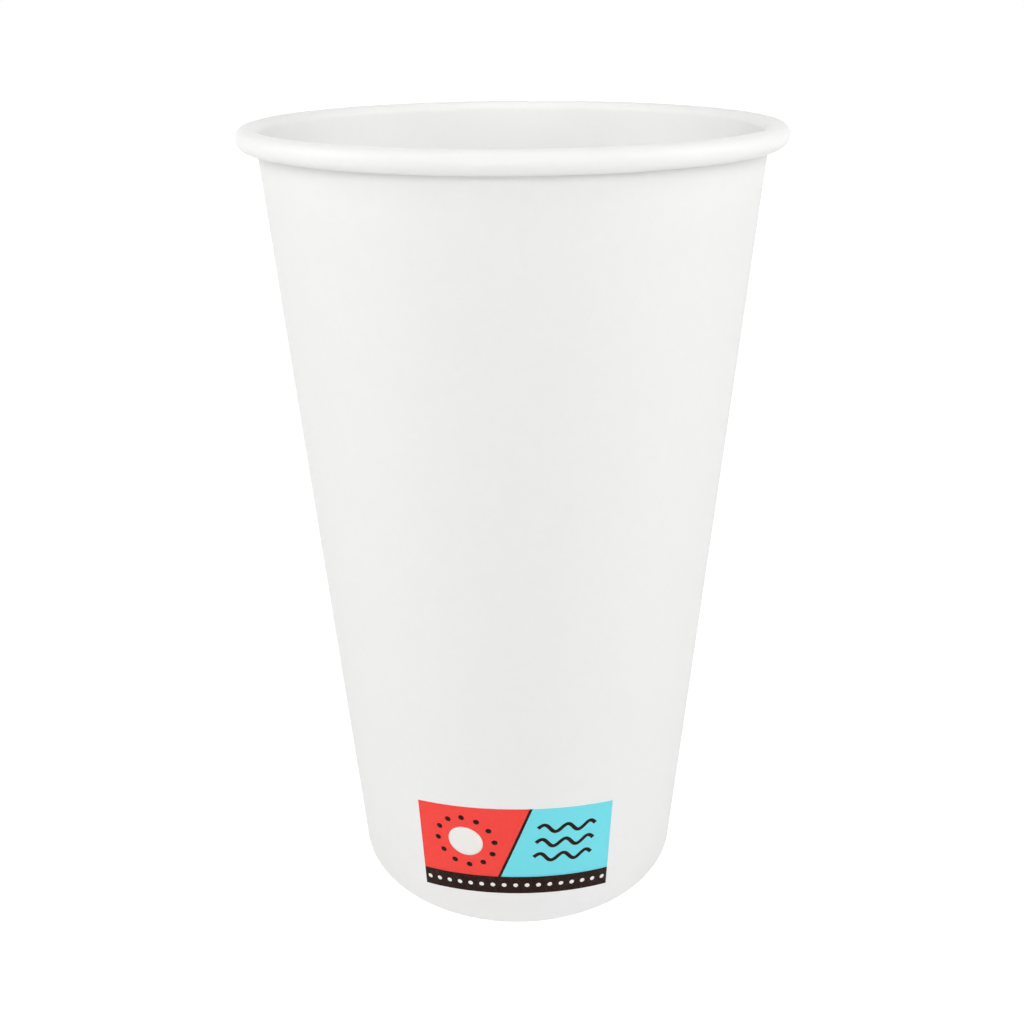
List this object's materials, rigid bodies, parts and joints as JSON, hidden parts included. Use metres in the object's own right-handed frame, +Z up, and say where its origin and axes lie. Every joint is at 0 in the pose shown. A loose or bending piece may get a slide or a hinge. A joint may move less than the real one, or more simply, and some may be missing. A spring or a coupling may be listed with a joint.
{
  "type": "paper coffee cup",
  "caption": "Tapered paper cup for hot drinks, with a curled rim, a lapped side seam, a recessed bottom disc and a printed panel near the foot.",
  "frame": {"origin": "centre of the foot ring, on the surface that the cup stands on", "axes": "+Z up along the cup's axis, -Y towards the front with the printed panel, +X to the right of someone looking at the panel"},
  "size_m": [0.0901, 0.09, 0.142],
  "materials": {
    "paperboard": "coated white paperboard, softly satin",
    "red_ink": "thin satin coat of red ink",
    "blue_ink": "thin satin coat of light blue ink",
    "dark_ink": "thin satin coat of dark brown ink",
    "white_ink": "thin satin coat of white ink"
  },
  "bodies": {
    "root": {"sidewall": "paperboard", "bottom_disc": "paperboard", "red_ink": "red_ink", "blue_ink": "blue_ink", "dark_ink": "dark_ink", "white_ink": "white_ink"}
  },
  "joints": []
}
